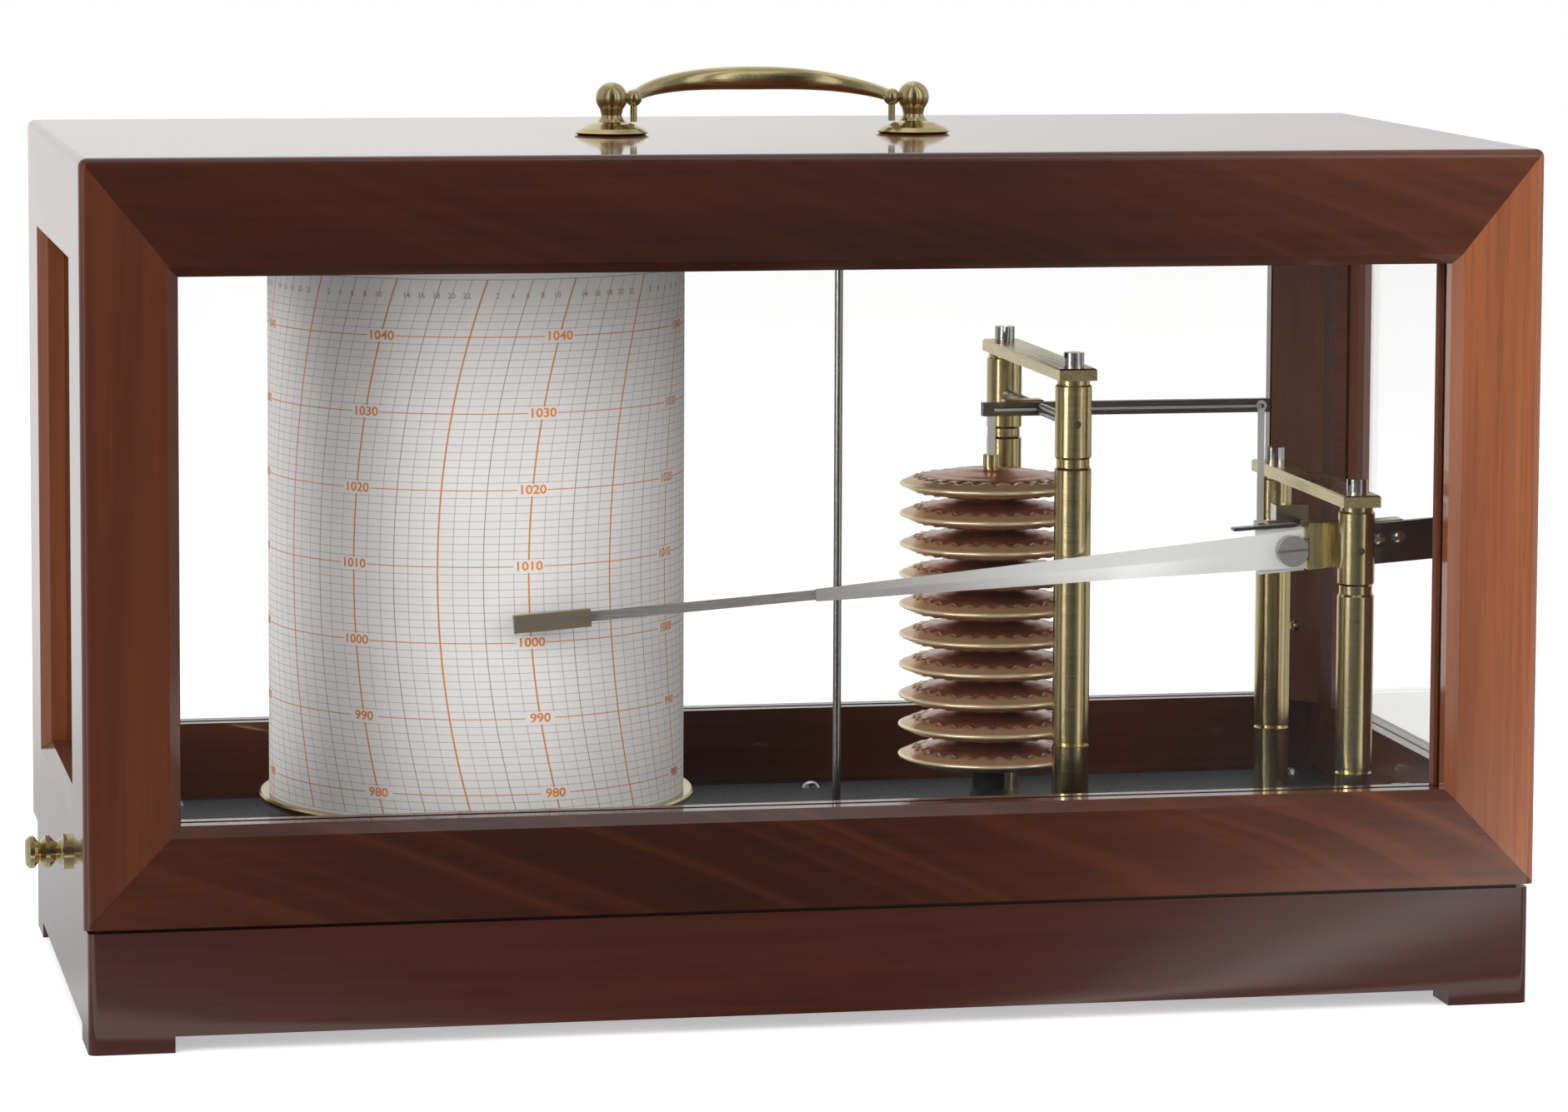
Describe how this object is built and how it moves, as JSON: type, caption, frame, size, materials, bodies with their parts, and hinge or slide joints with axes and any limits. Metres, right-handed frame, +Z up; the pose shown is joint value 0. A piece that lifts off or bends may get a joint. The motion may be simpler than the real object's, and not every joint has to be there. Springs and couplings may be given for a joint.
{
  "type": "barograph",
  "caption": "Recording aneroid barometer: capsule stack, lever train, pen arm and clockwork chart drum on a wooden base under a glazed wooden hood with a carrying handle",
  "frame": {"origin": "centre of the footprint, on the table", "axes": "+X along the front to the right, +Y to the back, +Z up"},
  "size_m": [0.37, 0.17, 0.2239],
  "materials": {
    "case_wood": "polished mahogany with a gloss clear coat",
    "glass": "clear bevelled-look plate glass",
    "brass": "polished and lacquered brass",
    "nickel": "nickel-plated screws and clips",
    "steel": "polished steel",
    "plate_paint": "dark blue-grey enamel",
    "capsule_metal": "copper-brown lacquered corrugated alloy",
    "blackened": "blackened metal",
    "arm_metal": "bright polished aluminium",
    "drum_metal": "plain spun metal",
    "chart": "printed chart paper"
  },
  "bodies": {
    "base": {"base_long_boards": "case_wood", "base_end_boards": "case_wood", "base_board": "case_wood", "instrument_plate": "plate_paint", "plate_screws": "nickel", "bridge_screws": "nickel", "tall_bridge_posts": "brass", "short_bridge_posts": "brass", "tall_bridge_bar": "brass", "short_bridge_bar": "brass", "hood_catches": "brass", "lifter_bush": "brass", "drum_nut": "brass", "drum_spindle": "steel", "capsule_foot": "blackened", "capsules": "capsule_metal"},
    "hood": {"hood_front_rails": "case_wood", "hood_front_stiles": "case_wood", "hood_rear_rails": "case_wood", "hood_rear_stiles": "case_wood", "hood_end_rails": "case_wood", "hood_end_stiles": "case_wood", "top_board": "case_wood", "corner_battens": "case_wood", "glazing_beads": "case_wood", "front_glass": "glass", "rear_glass": "glass", "end_glass": "glass", "batten_screws": "brass", "handle_posts": "brass", "handle_nuts": "brass", "thumbscrew_bushes": "brass"},
    "handle": {"handle_bail": "brass"},
    "thumbscrew_left": {"left_thumbscrew": "brass"},
    "thumbscrew_right": {"right_thumbscrew": "brass"},
    "drum": {"drum_flange": "brass", "clock_case": "brass", "drum_shell": "drum_metal", "chart_paper": "chart", "chart_clip": "nickel"},
    "lever": {"lever_arbor": "steel", "lever_arm": "steel", "lever_hub": "brass"},
    "upper_link": {"short_link": "steel"},
    "stem": {"capsule_stem": "brass"},
    "lower_link": {"long_link": "steel"},
    "pen_lever": {"pen_arbor": "steel", "pen_crank": "steel", "gate_pin": "steel", "counterweight": "steel", "arm_clamp": "brass", "counterweight_screws": "nickel"},
    "pen_gate": {"arm_plate": "arm_metal", "pen_arm": "arm_metal", "gate_leaf": "steel", "pen_nib": "steel", "arm_screw": "nickel", "pen_holder": "brass"},
    "lifter": {"lifter_rod": "steel"}
  },
  "joints": [
    {"name": "hood_lift", "type": "slide", "parent": "base", "child": "hood", "axis": [0, 0, 1], "range_m": [0, 0.2]},
    {"name": "handle_swing", "type": "hinge", "parent": "hood", "child": "handle", "pos_m": [0, 0, 0.217], "axis": [1, 0, 0], "range_deg": [0, 90]},
    {"name": "thumbscrew_left_turn", "type": "hinge", "parent": "hood", "child": "thumbscrew_left", "pos_m": [-0.175, -0.037, 0.04], "axis": [-1, 0, 0], "range_deg": [0, 720]},
    {"name": "thumbscrew_right_turn", "type": "hinge", "parent": "hood", "child": "thumbscrew_right", "pos_m": [0.175, -0.037, 0.04], "axis": [1, 0, 0], "range_deg": [0, 720]},
    {"name": "drum_turn", "type": "hinge", "parent": "base", "child": "drum", "pos_m": [-0.071, 0.005, 0.05], "axis": [0, 0, 1], "continuous": true},
    {"name": "pen_swing", "type": "hinge", "parent": "base", "child": "pen_lever", "pos_m": [0.1363, -0.022, 0.109], "axis": [0, 1, 0], "range_deg": [-13.5, 19], "stiffness_Nm_per_rad": 0.3},
    {"name": "lever_swing", "type": "hinge", "parent": "base", "child": "lever", "pos_m": [0.069, -0.007, 0.1394], "axis": [0, 1, 0], "range_deg": [-3.73, 2.74]},
    {"name": "upper_link_swing", "type": "hinge", "parent": "lever", "child": "upper_link", "pos_m": [0.0567, -0.007, 0.1394], "axis": [0, 1, 0], "range_deg": [-2.74, 3.73]},
    {"name": "stem_rise", "type": "slide", "parent": "base", "child": "stem", "axis": [0, 0, 1], "range_m": [-0.0009, 0.0007], "deforming": ["capsules"]},
    {"name": "lower_link_swing", "type": "hinge", "parent": "lever", "child": "lower_link", "pos_m": [0.126, -0.0086, 0.1394], "axis": [0, 1, 0], "range_deg": [-2.74, 3.73]},
    {"name": "lifter_turn", "type": "hinge", "parent": "base", "child": "lifter", "pos_m": [0.0235, -0.0472, 0.05], "axis": [0, 0, 1], "range_deg": [0, 27]},
    {"name": "gate_swing", "type": "hinge", "parent": "pen_lever", "child": "pen_gate", "pos_m": [0.13002, -0.0486, 0.10854], "axis": [-0.0727, 0, 0.9974], "range_deg": [0, 3.4]}
  ],
  "couplings": [
    {"joint": "lever_swing", "follows": "pen_swing", "ratio": -0.1807},
    {"joint": "upper_link_swing", "follows": "pen_swing", "ratio": 0.1807},
    {"joint": "lower_link_swing", "follows": "pen_swing", "ratio": 0.1807},
    {"joint": "stem_rise", "follows": "pen_swing", "m_per_rad": -0.0022226},
    {"joint": "gate_swing", "follows": "lifter_turn", "ratio": 0.12}
  ]
}
